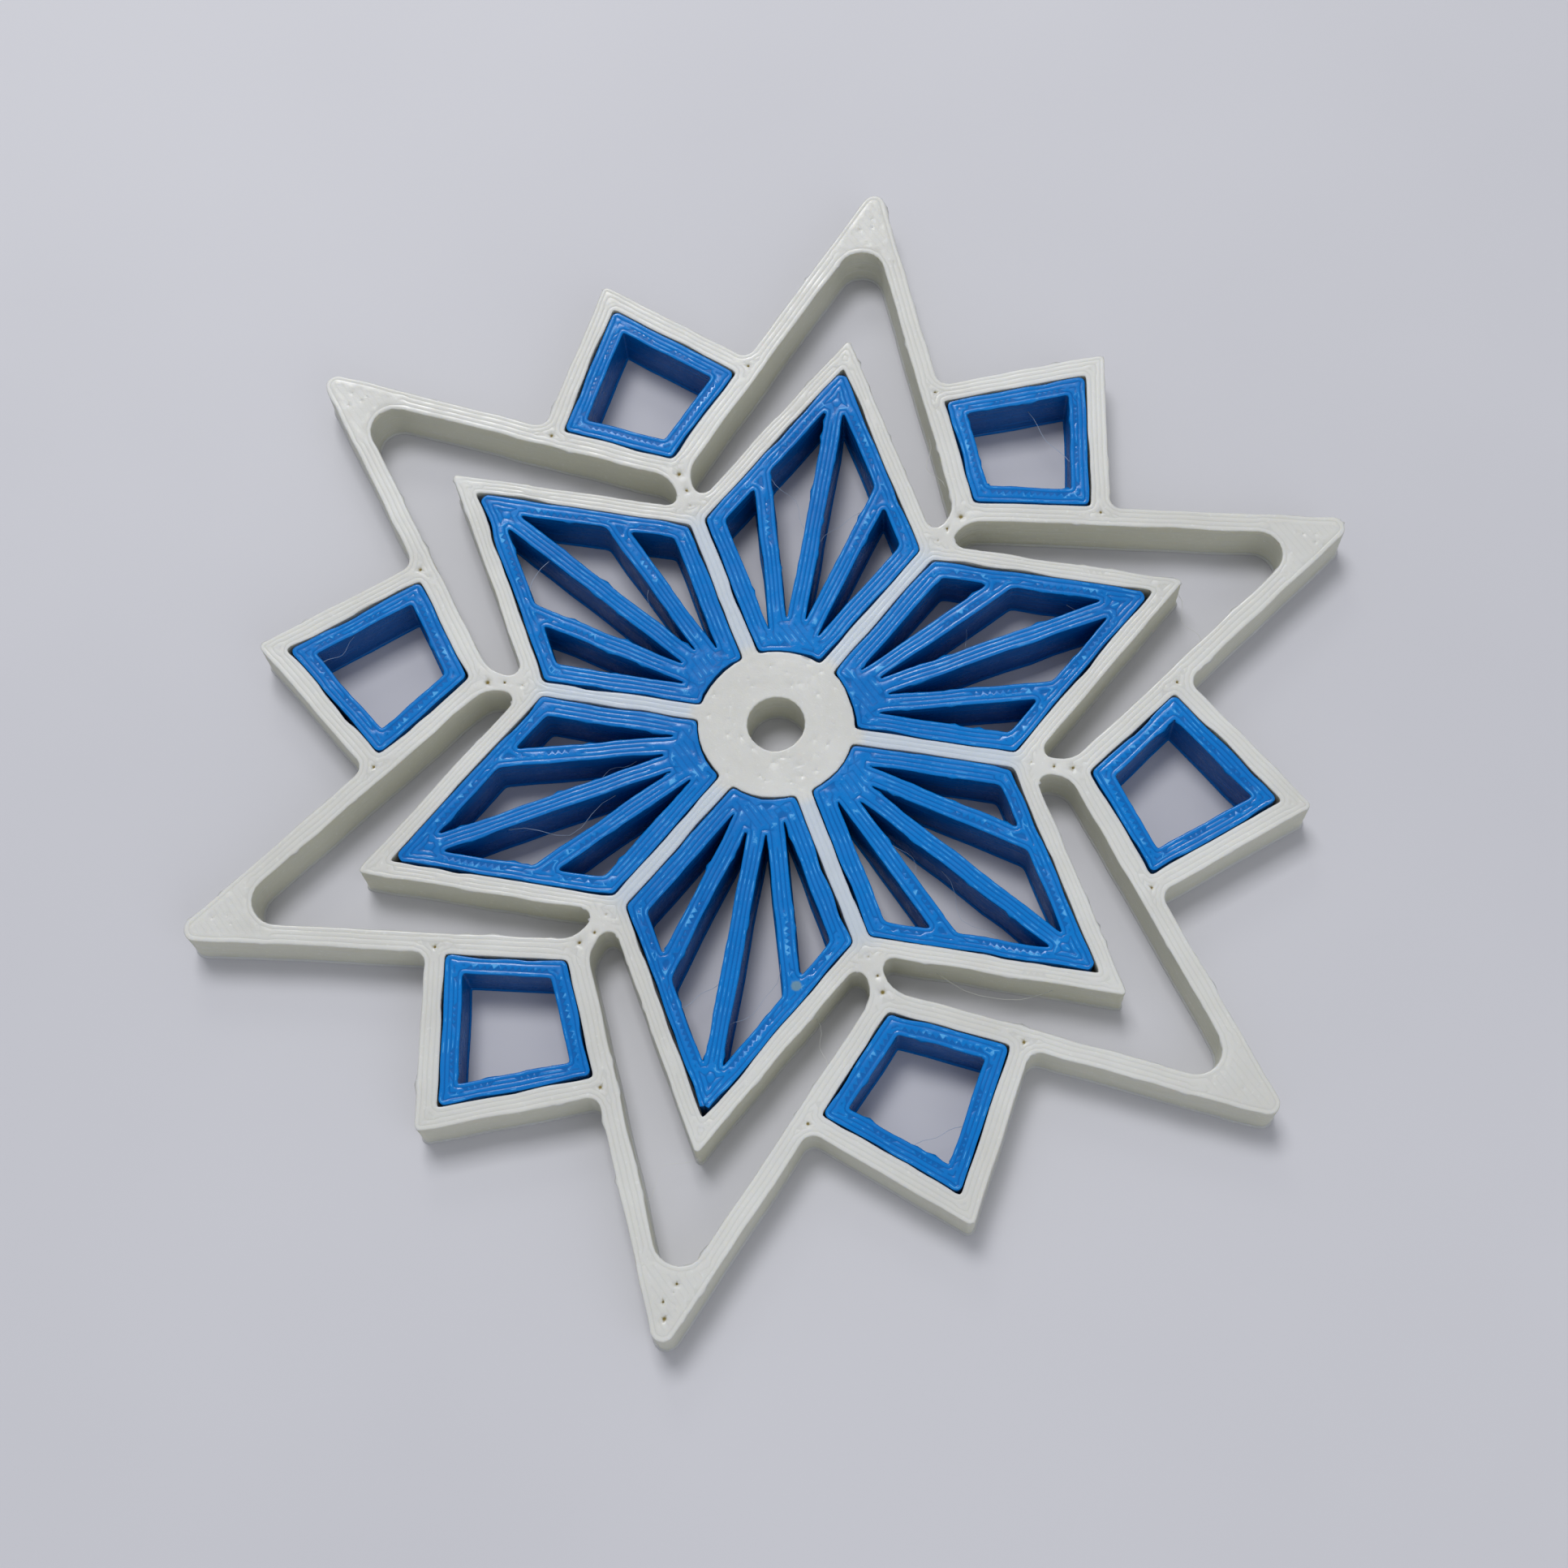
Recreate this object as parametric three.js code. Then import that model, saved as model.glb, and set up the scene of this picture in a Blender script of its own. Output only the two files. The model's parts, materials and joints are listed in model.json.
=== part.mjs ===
// A flat six-pointed snowflake star in two colours of printed plastic.
// One white frame carries twelve blue inserts, pressed into pockets that run right through it:
// six ribbed petals around the hub, and six kite-shaped rings in the valleys between the points.
//
// Units are millimetres. The origin is the centre of the hub hole on the flat back face, +Z is the
// front, and one star point lies along +Y. Every outline is drawn about the +Y axis and then turned
// into its sector.

import * as THREE from 'three';

// Whole star
const SECTORS = 6;
const THICKNESS = 4.6;
const STAR_APEX_RADIUS = 51.6; // where the two straight sides of a point would meet
const VALLEY_RADIUS = 25.6; // where the sides of two neighbouring points would meet
const STAR_TIP_ROUND = 1.0;
const STAR_WALL = 1.7;
const VALLEY_FILLET = 1.0;

// Kite-shaped pockets in the valleys, and their ring inserts
const KITE_TIP_RADIUS = 41.0;
const KITE_HALF_WIDTH = 7.86;
const KITE_WALL = 1.6;
const KITE_WALL_ROUND = 0.5;
const KITE_RIM = 1.6; // from the pocket's wall to the ring's window

// Petal-shaped pockets round the hub, and their ribbed inserts
const PETAL_SIDE_DISTANCE = 16.5; // from the hub's centre to a petal's long side
const PETAL_WALL = 1.4;
const PETAL_WALL_ROUND = 0.3;
const PETAL_SIDE_RIM = 1.5; // from the long side to the windows
const PETAL_FLANK_RIM = 1.7; // from the spoke to the windows
const RIB_WIDTH = 1.5;
const SIDE_RIB_ANGLE = THREE.MathUtils.degToRad( 15.7 ); // from the petal's own axis
const SIDE_RIB_START = 3.8; // where the side ribs' centre lines cross that axis

// Hub, spokes, and the slots inside the star points
const HUB_RADIUS = 6.3;
const HUB_HOLE_RADIUS = 2.3;
const SPOKE_WIDTH = 1.2;
const SLOT_TIP_ROUND = 2.0;
const SLOT_SHOULDER_ROUND = 2.5;
const SLOT_END_ROUND = 0.8;
const SLOT_END_GAP = 1.5; // material between the ends of two neighbouring slots

// Fit of the inserts, and how finely arcs are drawn. Corners of a pocket or a window are sharp.
const PRESS_GAP = 0.15; // each side, between an insert and its pocket
const INSERT_ROUND = 0.45; // outer corners of an insert
const ARC_TOLERANCE = 0.02; // how far a straight piece of a round may lie from the true arc

const SECTOR = ( 2 * Math.PI ) / SECTORS;
const STAR_HALF_ANGLE = Math.atan2(
	VALLEY_RADIUS * Math.sin( SECTOR / 2 ),
	STAR_APEX_RADIUS - VALLEY_RADIUS * Math.cos( SECTOR / 2 )
);
const STAR_SIDE_DISTANCE = STAR_APEX_RADIUS * Math.sin( STAR_HALF_ANGLE );

const WHITE = { color: 0xd9d9d3, roughness: 0.55, metalness: 0 };
const BLUE = { color: 0x1268b8, roughness: 0.42, metalness: 0 };

// ---- lines and points in the plane ----

// A line holds every point p with normal . p = distance. The normal's angle is measured from +X.
function line( normalAngle, distance ) {

	return { angle: normalAngle, distance };

}

function shifted( { angle, distance }, amount ) {

	return line( angle, distance + amount );

}

// The line from a to b, with its normal on the left.
function lineThrough( a, b ) {

	const angle = Math.atan2( b.x - a.x, a.y - b.y );
	return line( angle, a.x * Math.cos( angle ) + a.y * Math.sin( angle ) );

}

function meet( a, b ) {

	const det = Math.sin( b.angle - a.angle );
	return new THREE.Vector2(
		( a.distance * Math.sin( b.angle ) - b.distance * Math.sin( a.angle ) ) / det,
		( b.distance * Math.cos( a.angle ) - a.distance * Math.cos( b.angle ) ) / det
	);

}

function mirrored( points ) {

	return points.map( ( p ) => new THREE.Vector2( - p.x, p.y ) ).reverse();

}

function turned( points, angle ) {

	const centre = new THREE.Vector2( 0, 0 );
	return points.map( ( p ) => p.clone().rotateAround( centre, angle ) );

}

// How many straight pieces draw a round of this radius through this angle.
function arcSteps( radius, angle ) {

	return Math.ceil( Math.abs( angle ) / ( 2 * Math.acos( 1 - ARC_TOLERANCE / radius ) ) );

}

// Points on a circle about the origin, from one angle to another, both ends included.
function arc( radius, from, to ) {

	const steps = arcSteps( radius, to - from );
	const points = [];
	for ( let i = 0; i <= steps; i ++ ) {

		const angle = from + ( ( to - from ) * i ) / steps;
		points.push( new THREE.Vector2( radius * Math.cos( angle ), radius * Math.sin( angle ) ) );

	}

	return points;

}

// Moves every side of a counter-clockwise outline inwards. A negative amount moves it outwards.
function inset( points, amount ) {

	const sides = points.map( ( p, i ) => {

		return shifted( lineThrough( p, points[ ( i + 1 ) % points.length ] ), amount );

	} );
	return sides.map( ( side, i ) => meet( sides.at( i - 1 ), side ) );

}

// One corner, rounded between its two neighbours.
function roundCorner( before, corner, after, radius ) {

	const back = before.clone().sub( corner ).normalize();
	const ahead = after.clone().sub( corner ).normalize();
	const halfAngle = Math.acos( back.dot( ahead ) ) / 2;
	const start = corner.clone().addScaledVector( back, radius / Math.tan( halfAngle ) );
	const middle = back.clone().add( ahead ).normalize();
	const centre = corner.clone().addScaledVector( middle, radius / Math.sin( halfAngle ) );
	const turn = ( Math.PI - 2 * halfAngle ) * Math.sign( ahead.cross( back ) );
	const steps = arcSteps( radius, turn );
	const points = [];
	for ( let i = 0; i <= steps; i ++ ) {

		points.push( start.clone().rotateAround( centre, ( turn * i ) / steps ) );

	}

	return points;

}

// Rounds a closed outline. The radii are one number for all corners, or a list of one for each.
function rounded( points, radii ) {

	return points.flatMap( ( corner, i ) => {

		const radius = Array.isArray( radii ) ? radii[ i ] : radii;
		const after = points[ ( i + 1 ) % points.length ];
		return radius > 0 ? roundCorner( points.at( i - 1 ), corner, after, radius ) : [ corner ];

	} );

}

// ---- outlines about the +Y axis, all counter-clockwise ----

// The straight side of a star point on its +X side, and the side that a kite's neighbour on the +X
// side turns towards the kite.
const starSide = line( STAR_HALF_ANGLE, STAR_SIDE_DISTANCE );
const neighbourSide = line( Math.PI - STAR_HALF_ANGLE - SECTOR / 2, STAR_SIDE_DISTANCE );

// A kite's inner sides carry on the straight sides of the two star points beside it.
function kiteCorners() {

	const right = meet( line( 0, KITE_HALF_WIDTH ), neighbourSide );
	const left = new THREE.Vector2( - right.x, right.y );
	const tip = new THREE.Vector2( 0, KITE_TIP_RADIUS );
	const valley = new THREE.Vector2( 0, VALLEY_RADIUS );
	return [ right, tip, left, valley ];

}

// The white wall round a kite, from the star point on its +X side to the one on its -X side.
function kiteWall() {

	const [ right, tip ] = inset( kiteCorners(), - KITE_WALL );
	const foot = meet( lineThrough( right, tip ), neighbourSide );
	return [ foot, tip, new THREE.Vector2( - foot.x, foot.y ) ];

}

function frameOutline() {

	const corners = [];
	const radii = [];
	for ( let i = 0; i < SECTORS; i ++ ) {

		corners.push( ...turned( [ new THREE.Vector2( 0, STAR_APEX_RADIUS ) ], i * SECTOR ) );
		corners.push( ...turned( kiteWall(), ( i + 0.5 ) * SECTOR ) );
		radii.push( STAR_TIP_ROUND, VALLEY_FILLET, KITE_WALL_ROUND, VALLEY_FILLET );

	}

	return rounded( corners, radii );

}

// The open slot between a star point's wall and the wall round its petal.
function slotOutline() {

	const pointSide = shifted( starSide, - STAR_WALL );
	const petalSide = line( SECTOR / 2, PETAL_SIDE_DISTANCE + PETAL_WALL );
	const endSide = line( - SECTOR / 2, - SLOT_END_GAP / 2 );
	const shoulder = meet( pointSide, endSide );
	const end = meet( endSide, petalSide );
	const tip = meet( pointSide, line( 0, 0 ) );
	const petalTip = meet( petalSide, line( 0, 0 ) );
	const corners = [ tip, ...mirrored( [ end, shoulder ] ), petalTip, end, shoulder ];
	const radii = [
		SLOT_TIP_ROUND,
		SLOT_SHOULDER_ROUND,
		SLOT_END_ROUND,
		PETAL_WALL_ROUND,
		SLOT_END_ROUND,
		SLOT_SHOULDER_ROUND
	];
	return rounded( corners, radii );

}

// A petal: two long sides, two flanks along the spokes, and a hollow end round the hub.
function petalOutline( gap, radius ) {

	const side = line( SECTOR / 2, PETAL_SIDE_DISTANCE - gap );
	const flankDistance = SPOKE_WIDTH / 2 + gap;
	const shoulder = meet( side, line( - SECTOR / 2, - flankDistance ) );
	const hubEdge = HUB_RADIUS + gap;
	const flankAngle = Math.PI / 2 - SECTOR / 2 + Math.asin( flankDistance / hubEdge );
	const tip = meet( side, line( 0, 0 ) );
	const hubEnd = arc( hubEdge, Math.PI - flankAngle, flankAngle );
	const corners = [ tip, ...mirrored( [ shoulder ] ), ...hubEnd, shoulder ];
	const radii = [ radius, radius, ...hubEnd.map( () => 0 ), radius ];
	return rounded( corners, radii );

}

// The four windows between a petal's rim and its three ribs.
function petalWindows() {

	const rim = line( SECTOR / 2, PETAL_SIDE_DISTANCE - PETAL_SIDE_RIM );
	const flank = line( - SECTOR / 2, - SPOKE_WIDTH / 2 - PETAL_FLANK_RIM );
	const centreRib = line( 0, RIB_WIDTH / 2 );
	const sideRib = line( - SIDE_RIB_ANGLE, - SIDE_RIB_START * Math.sin( SIDE_RIB_ANGLE ) );
	const ribInside = shifted( sideRib, - RIB_WIDTH / 2 );
	const ribOutside = shifted( sideRib, RIB_WIDTH / 2 );
	const inner = [ meet( centreRib, ribInside ), meet( ribInside, rim ), meet( rim, centreRib ) ];
	const outer = [ meet( ribOutside, flank ), meet( flank, rim ), meet( rim, ribOutside ) ];
	return [ inner, outer, mirrored( inner ), mirrored( outer ) ];

}

// ---- solids ----

function plate( name, outline, holes, finish ) {

	const shape = new THREE.Shape( outline );
	shape.holes = holes.map( ( points ) => new THREE.Path( points ) );
	const geometry = new THREE.ExtrudeGeometry( shape, { depth: THICKNESS, bevelEnabled: false } );
	const mesh = new THREE.Mesh( geometry, new THREE.MeshStandardMaterial( finish ) );
	mesh.name = name;
	return mesh;

}

function frame() {

	const holes = [ arc( HUB_HOLE_RADIUS, 0, 2 * Math.PI ).slice( 1 ) ];
	for ( let i = 0; i < SECTORS; i ++ ) {

		holes.push( turned( slotOutline(), i * SECTOR ) );
		holes.push( turned( petalOutline( 0, 0 ), i * SECTOR ) );
		holes.push( turned( kiteCorners(), ( i + 0.5 ) * SECTOR ) );

	}

	return plate( 'snowflake_frame', frameOutline(), holes, WHITE );

}

function petalInsert( number ) {

	const outline = petalOutline( PRESS_GAP, INSERT_ROUND );
	return plate( `petal_insert_${ number }`, outline, petalWindows(), BLUE );

}

function kiteInsert( number ) {

	const outline = rounded( inset( kiteCorners(), PRESS_GAP ), INSERT_ROUND );
	const window = inset( kiteCorners(), KITE_RIM );
	return plate( `kite_insert_${ number }`, outline, [ window ], BLUE );

}

// ---- the assembly ----

const snowflake = new THREE.Group();
snowflake.add( frame() );
for ( let i = 0; i < SECTORS; i ++ ) {

	const petal = petalInsert( i + 1 );
	petal.rotation.z = i * SECTOR;
	snowflake.add( petal );

	const kite = kiteInsert( i + 1 );
	kite.rotation.z = ( i + 0.5 ) * SECTOR;
	snowflake.add( kite );

}

export default snowflake;
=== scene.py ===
"""The looks of a two-colour snowflake star printed in plastic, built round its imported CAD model.

Each CAD plate is rebuilt as a printed piece: beads laid side by side on the front, stacked layer
lines on every wall, eased corners, pits where beads fail to meet, wavering edges and stray hairs.
The outlines come from the CAD nodes themselves. Lengths are in millimetres until a mesh is made.
"""

import json
import math

import bpy
import numpy as np
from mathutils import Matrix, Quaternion, Vector
from mathutils.bvhtree import BVHTree
from mathutils.geometry import delaunay_2d_cdt


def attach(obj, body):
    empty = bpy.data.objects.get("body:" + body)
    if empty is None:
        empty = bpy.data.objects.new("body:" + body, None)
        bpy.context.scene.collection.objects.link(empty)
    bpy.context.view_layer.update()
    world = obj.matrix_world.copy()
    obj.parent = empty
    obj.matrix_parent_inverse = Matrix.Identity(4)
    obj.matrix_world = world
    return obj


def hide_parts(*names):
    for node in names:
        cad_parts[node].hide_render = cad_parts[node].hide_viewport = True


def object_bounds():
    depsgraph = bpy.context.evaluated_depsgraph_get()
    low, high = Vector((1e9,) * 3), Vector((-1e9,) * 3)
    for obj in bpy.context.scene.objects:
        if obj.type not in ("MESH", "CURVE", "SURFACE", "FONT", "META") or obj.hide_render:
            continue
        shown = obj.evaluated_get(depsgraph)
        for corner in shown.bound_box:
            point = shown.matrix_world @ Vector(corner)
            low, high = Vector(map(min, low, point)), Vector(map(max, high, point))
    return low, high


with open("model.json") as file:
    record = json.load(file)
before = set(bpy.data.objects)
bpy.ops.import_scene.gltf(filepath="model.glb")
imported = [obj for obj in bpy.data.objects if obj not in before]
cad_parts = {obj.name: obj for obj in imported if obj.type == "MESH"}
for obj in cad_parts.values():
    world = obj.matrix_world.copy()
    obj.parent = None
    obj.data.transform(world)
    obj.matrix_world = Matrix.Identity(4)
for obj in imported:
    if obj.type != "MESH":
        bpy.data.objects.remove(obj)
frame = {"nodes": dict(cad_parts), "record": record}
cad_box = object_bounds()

MM = 0.001
SECTORS = 6
THICKNESS = cad_box[1].z / MM

# How the plastic was laid
BEAD = 0.4
LAYER = 0.2
LAYERS = round(THICKNESS / LAYER)
COLUMN_STEP = 2.0  # along a wall
SPLIT = 4  # how many pieces of the front's edge there are to one piece of the wall's
LAYER_GROOVE = 0.04
EDGE_DROP = 0.1  # the front's edge is the middle of the last layer
FIT_DROP = 0.06  # the same where two pieces are pressed together
FLARE = 0.14  # how far the first layer is squashed out into an opening
FIRST_LAYER_GROOVE = 0.012
STREAK_ANGLE = math.radians(45)  # of the zigzag that fills a wide area
FILL_DEPTH = 0.7  # the zigzag starts this far inside the outlines
SEED = 11
PIECE_SEED = 100
WARP_SEED = 5
WARP = 0.035  # how far a piece and its neighbours waver together
GROOVE = {"white_print": 0.045, "blue_print": 0.080}  # how deep, between two beads of the front
LUMPS = 0.010
RAGGED = 0.018  # how unevenly the front's edge is laid
BURRED = 0.06  # the share of the front's edge points that stand out as burrs
FIT_BURR = 0.12  # burrs are this much smaller where two pieces are pressed together
LAYER_WAVER = 0.012  # how far one layer of a wall lies beside the next
EDGE_ROW = 0.09  # the front's outermost row of points lies this far in
BACK_EDGE_ROW = 0.16
HALF_WALLS = np.arange(0.3, 1.36, 0.02)  # tried in turn, to find how wide a wall is
NARROW = (0.4, 1.3)  # half the width of a wall whose beads are squeezed or spread to fit
CORNER = 0.22  # each cut that rounds a corner starts at most this far from it
KITE_CORNER = 0.11
CORNER_REACH = 0.7  # a corner is told by how the outline turns within this distance
WANDER_DEPTH = 0.7  # the bead rows follow the wandering outline down to this depth
AT_EDGE = 0.12  # points of the front closer to an outline than this belong to its edge
PIT_REACH = 1.25  # in radii of the pit
WINDOW = 20  # hairs cross openings of more than this, in square millimetres

# Marks on the surface, for the materials: 0 in a groove and 1 on a crest, and these
EDGE_CREST = 0.6
WALL_CREST = 0.8
HAIR_CREST = 2.0
CREASE = 0.12  # a groove is sharp where the mark is below this


# ---- outlines ----


def outline_loops(node):
    """The closed outlines of a node's front face, each with the plastic on its left."""
    mesh = frame["nodes"][node].data
    points = [
        (round(v.co.x / MM, 3), round(v.co.y / MM, 3), v.co.z / MM) for v in mesh.vertices
    ]
    edges = set()
    for face in mesh.polygons:
        ring = [points[i] for i in face.vertices]
        if all(z > THICKNESS - 0.01 for _, _, z in ring):
            flat = [p[:2] for p in ring]
            edges.update(zip(flat, flat[1:] + flat[:1]))
    ahead = {a: b for a, b in edges if (b, a) not in edges}
    loops = []
    while ahead:
        ring = [min(ahead)]
        point = ahead.pop(ring[0])
        while point != ring[0]:
            ring.append(point)
            point = ahead.pop(point)
        loops.append(np.array(ring))
    return loops


def eased(loop, least_turn, reach):
    """Cuts every corner that turns by more than least_turn.

    A cut starts reach from the corner, or a quarter of the side if that is less.
    """
    back = loop - np.roll(loop, 1, 0)
    ahead = np.roll(loop, -1, 0) - loop
    turn = np.abs(
        np.arctan2(
            back[:, 0] * ahead[:, 1] - back[:, 1] * ahead[:, 0], (back * ahead).sum(1)
        )
    )
    points = []
    for p, b, a, t in zip(loop, back, ahead, turn):
        if t < least_turn:
            points.append(p)
        else:
            points.append(p - b * min(0.25, reach / np.hypot(*b)))
            points.append(p + a * min(0.25, reach / np.hypot(*a)))
    return np.array(points)


def printed_corners(loop, reach):
    """No nozzle turns on the spot, so every corner gets a small round."""
    for least_turn in (45, 45, 20):
        loop = eased(loop, math.radians(least_turn), reach)
    return loop


class Edge:
    """A closed outline cut into short pieces, with the direction into the plastic at each."""

    def __init__(self, loop, press_fit, corner=CORNER, blunt=0.0):
        loop = printed_corners(loop, corner)
        self.press_fit, self.blunt = press_fit, blunt
        points, column = [], []
        for a, b in zip(loop, np.roll(loop, -1, 0)):
            length = np.hypot(*(b - a))
            columns = max(1, round(length / COLUMN_STEP))
            split = SPLIT if length > COLUMN_STEP / 2 else 1
            for k in range(columns * split):
                points.append(a + (b - a) * k / (columns * split))
                column.append(k % split == 0)
        self.points = np.array(points)
        self.column = np.flatnonzero(column)
        ahead = np.roll(self.points, -1, 0) - self.points
        ahead /= np.hypot(*ahead.T)[:, None]
        left = np.c_[-ahead[:, 1], ahead[:, 0]]
        before = np.roll(left, 1, 0)
        self.inward = (left + before) / (1 + (left * before).sum(1))[:, None]
        self.bend = corner_share(self.points)


def corner_share(points):
    """At each point of a closed outline, up to 1 at a sharp corner and 0 elsewhere."""
    ahead = np.roll(points, -1, 0) - points
    length = np.hypot(*ahead.T)
    at = np.concatenate([[0], np.cumsum(length)])
    total = at[-1]
    heading = np.unwrap(np.arctan2(ahead[:, 1], ahead[:, 0]))
    turn = 2 * math.pi * round((heading[-1] - heading[0]) / (2 * math.pi) + 1e-9)
    if turn == 0:
        turn = 2 * math.pi * np.sign(area(points))
    middle = at[:-1] + length / 2
    far = np.concatenate([middle - total, middle, middle + total])
    angle = np.concatenate([heading - turn, heading, heading + turn])
    after = np.interp(at[:-1] + CORNER_REACH, far, angle)
    change = after - np.interp(at[:-1] - CORNER_REACH, far, angle)
    return np.clip(np.degrees(np.abs(change)) / 25 - 3.8, 0, 1)  # from 95 to 120 degrees


class Outlines:
    """All the edges of a piece, for asking where a point lies."""

    def __init__(self, edges):
        self.edges = edges
        self.starts = np.vstack([e.points for e in edges])
        self.ends = np.vstack([np.roll(e.points, -1, 0) for e in edges])
        corners = [
            (x, y, z)
            for (ax, ay), (bx, by) in zip(self.starts, self.ends)
            for x, y, z in ((ax, ay, -1), (bx, by, -1), (bx, by, 1), (ax, ay, 1))
        ]
        walls = [tuple(range(4 * i, 4 * i + 4)) for i in range(len(self.starts))]
        self.tree = BVHTree.FromPolygons(corners, walls)

    def depth(self, points):
        """How far each point is from the nearest outline."""
        find = self.tree.find_nearest
        return np.array([find((x, y, 0.0))[3] for x, y in points.tolist()])

    def inside(self, points):
        """Whether each point lies inside the outer outline and outside every opening."""
        a, b = self.starts, self.ends
        found = np.empty(len(points), bool)
        for i in range(0, len(points), 1000):
            x, y = points[i : i + 1000, 0, None], points[i : i + 1000, 1, None]
            spans = (a[:, 1] > y) != (b[:, 1] > y)
            with np.errstate(divide="ignore", invalid="ignore"):
                at = a[:, 0] + (y - a[:, 1]) * (b[:, 0] - a[:, 0]) / (b[:, 1] - a[:, 1])
            found[i : i + 1000] = (spans & (x < at)).sum(1) % 2 == 1
        return found


def area(points):
    """The area inside a closed outline, negative for an opening."""
    after = np.roll(points, -1, 0)
    return 0.5 * (points[:, 0] * after[:, 1] - points[:, 1] * after[:, 0]).sum()


# ---- places on the star, worked out from the frame's outlines ----

slots = {s["node"]: s["material_slot"] for s in frame["record"]["subparts"]}
body_of = {n: b for b, ns in frame["record"]["behaviour"]["bodies"].items() for n in ns}
loops = {node: outline_loops(node) for node in sorted(slots)}


def plastic_of(node):
    """All the outlines of a CAD node, as they are before any printing marks."""
    return Outlines([Edge(loop, False) for loop in loops[node]])


def job(opening):
    """What an opening of the frame is: a petal's or kite's pocket, the hub's hole or a slot."""
    inside = Outlines([Edge(opening, False)]).inside
    for node, rings in loops.items():
        if slots[node] == "blue_print" and inside(rings[0][:1])[0]:
            return node.split("_")[0]
    return "hole" if inside(np.zeros((1, 2)))[0] else "slot"


def radii(kind):
    """How near the star's centre the openings of a kind come, and how far out they reach."""
    radius = np.hypot(*np.vstack(openings[kind]).T)
    return radius.min(), radius.max()


def wide_corners(opening):
    """The two corners that lie farthest to either side of an opening's middle line."""
    middle = opening.mean(0) / np.hypot(*opening.mean(0))
    across = opening @ np.array([-middle[1], middle[0]])
    return opening[[across.argmin(), across.argmax()]]


def widest_spot(plastic, start, reach):
    """The point near start that is farthest from every outline, where three walls meet."""
    side = np.linspace(-reach, reach, 41)
    grid = start + np.array([(x, y) for x in side for y in side])
    grid = grid[plastic.inside(grid)]
    return grid[plastic.depth(grid).argmax()]


def polar(radius, degrees):
    """A point at an angle from +Y, counted clockwise."""
    a = math.radians(degrees)
    return np.array([radius * math.sin(a), radius * math.cos(a)])


openings = {"petal": [], "kite": [], "slot": [], "hole": []}
for loop in loops["snowflake_frame"]:
    if area(loop) < 0:
        openings[job(loop)].append(loop)

TIPS = [360 / SECTORS * i for i in range(SECTORS)]
WEBS = [tip + 180 / SECTORS for tip in TIPS]  # where a spoke, two slots and a kite meet
TIP_RADIUS = cad_box[1].y / MM
SLOT_TOP = radii("slot")[1]
SOLID_TIP = TIP_RADIUS - SLOT_TOP
HOLE_RADIUS = radii("hole")[1]
HUB_RADIUS = radii("petal")[0]
WEB_START = np.hypot(*wide_corners(openings["petal"][0])[0])
WEB_END = radii("kite")[0]
WEB_LENGTH = WEB_END - WEB_START


class Waves:
    """A smooth random field of x and y, about -1 to 1, with waves of the given lengths."""

    def __init__(self, rng, shortest, longest, layers=1, count=14):
        angle = rng.uniform(0, 2 * math.pi, count)
        pitch = 2 * math.pi / rng.uniform(shortest, longest, count)
        self.k = np.c_[np.cos(angle), np.sin(angle)] * pitch[:, None]
        self.phase = rng.uniform(0, 2 * math.pi, (layers, count))
        self.size = 1.3 / math.sqrt(count)

    def __call__(self, points, layer=0):
        waves = np.sin(points @ self.k.T + self.phase[layer])
        return np.clip(waves.sum(1) * self.size, -1, 1)


# ---- the front and back of a piece ----


def thinned(points, kept, spacing):
    """The points that are no closer than spacing to a kept point or to each other."""

    def cell(p):
        return int(p[0] // spacing), int(p[1] // spacing)

    taken = {}
    for p in kept:
        taken.setdefault(cell(p), []).append(p)
    chosen = []
    for i, p in enumerate(points):
        cx, cy = cell(p)
        near = [
            q
            for dx in (-1, 0, 1)
            for dy in (-1, 0, 1)
            for q in taken.get((cx + dx, cy + dy), ())
        ]
        if all((p[0] - q[0]) ** 2 + (p[1] - q[1]) ** 2 > spacing**2 for q in near):
            taken.setdefault((cx, cy), []).append(p)
            chosen.append(i)
    return np.array(chosen, int)


def keeps_depth(outlines, points, depth):
    """Whether points that went this deep from one wall are still as far from every other wall."""
    return outlines.depth(points) > depth * 0.97 - 0.01


def bead_rows(outlines, edge_row, first_row):
    """Points along the crests and grooves of beads that follow every outline.

    A row of points lies edge_row inside the outline, and the others every half bead from
    first_row on. In a narrow wall the beads are squeezed or spread to meet in the middle. Also
    returns the outline point that each point came from, and its depth as if no bead were squeezed.
    """
    half = BEAD / 2
    start = outlines.starts
    inward = np.vstack([e.inward for e in outlines.edges])
    reach = np.zeros(len(start))
    alive = np.ones(len(start), bool)
    for t in HALF_WALLS:
        alive &= keeps_depth(outlines, start + inward * t, t)
        reach[alive] = t
    narrow = (reach > NARROW[0]) & (reach < NARROW[1])
    count = np.maximum(1, np.round(reach / half + 0.1))
    pitch = np.where(narrow, reach / count, half)

    middle = np.flatnonzero(narrow)
    centre = (start + inward * reach[:, None])[middle]
    regular = thinned(centre, np.zeros((0, 2)), BEAD)
    middle = middle[regular]
    rows, sources, depths = [centre[regular]], [middle], [count[middle] * half]
    for k in [0] + list(range(first_row, 12)):
        depth = k * pitch if k else np.minimum(edge_row, 0.45 * first_row * pitch)
        row = start + inward * depth[:, None]
        good = keeps_depth(outlines, row, depth)
        good &= ~narrow | (k < count)
        rows.append(row[good])
        sources.append(np.flatnonzero(good))
        depths.append(np.full(good.sum(), k * half if k else edge_row))
    return np.vstack(rows), np.concatenate(sources), np.concatenate(depths)


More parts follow.
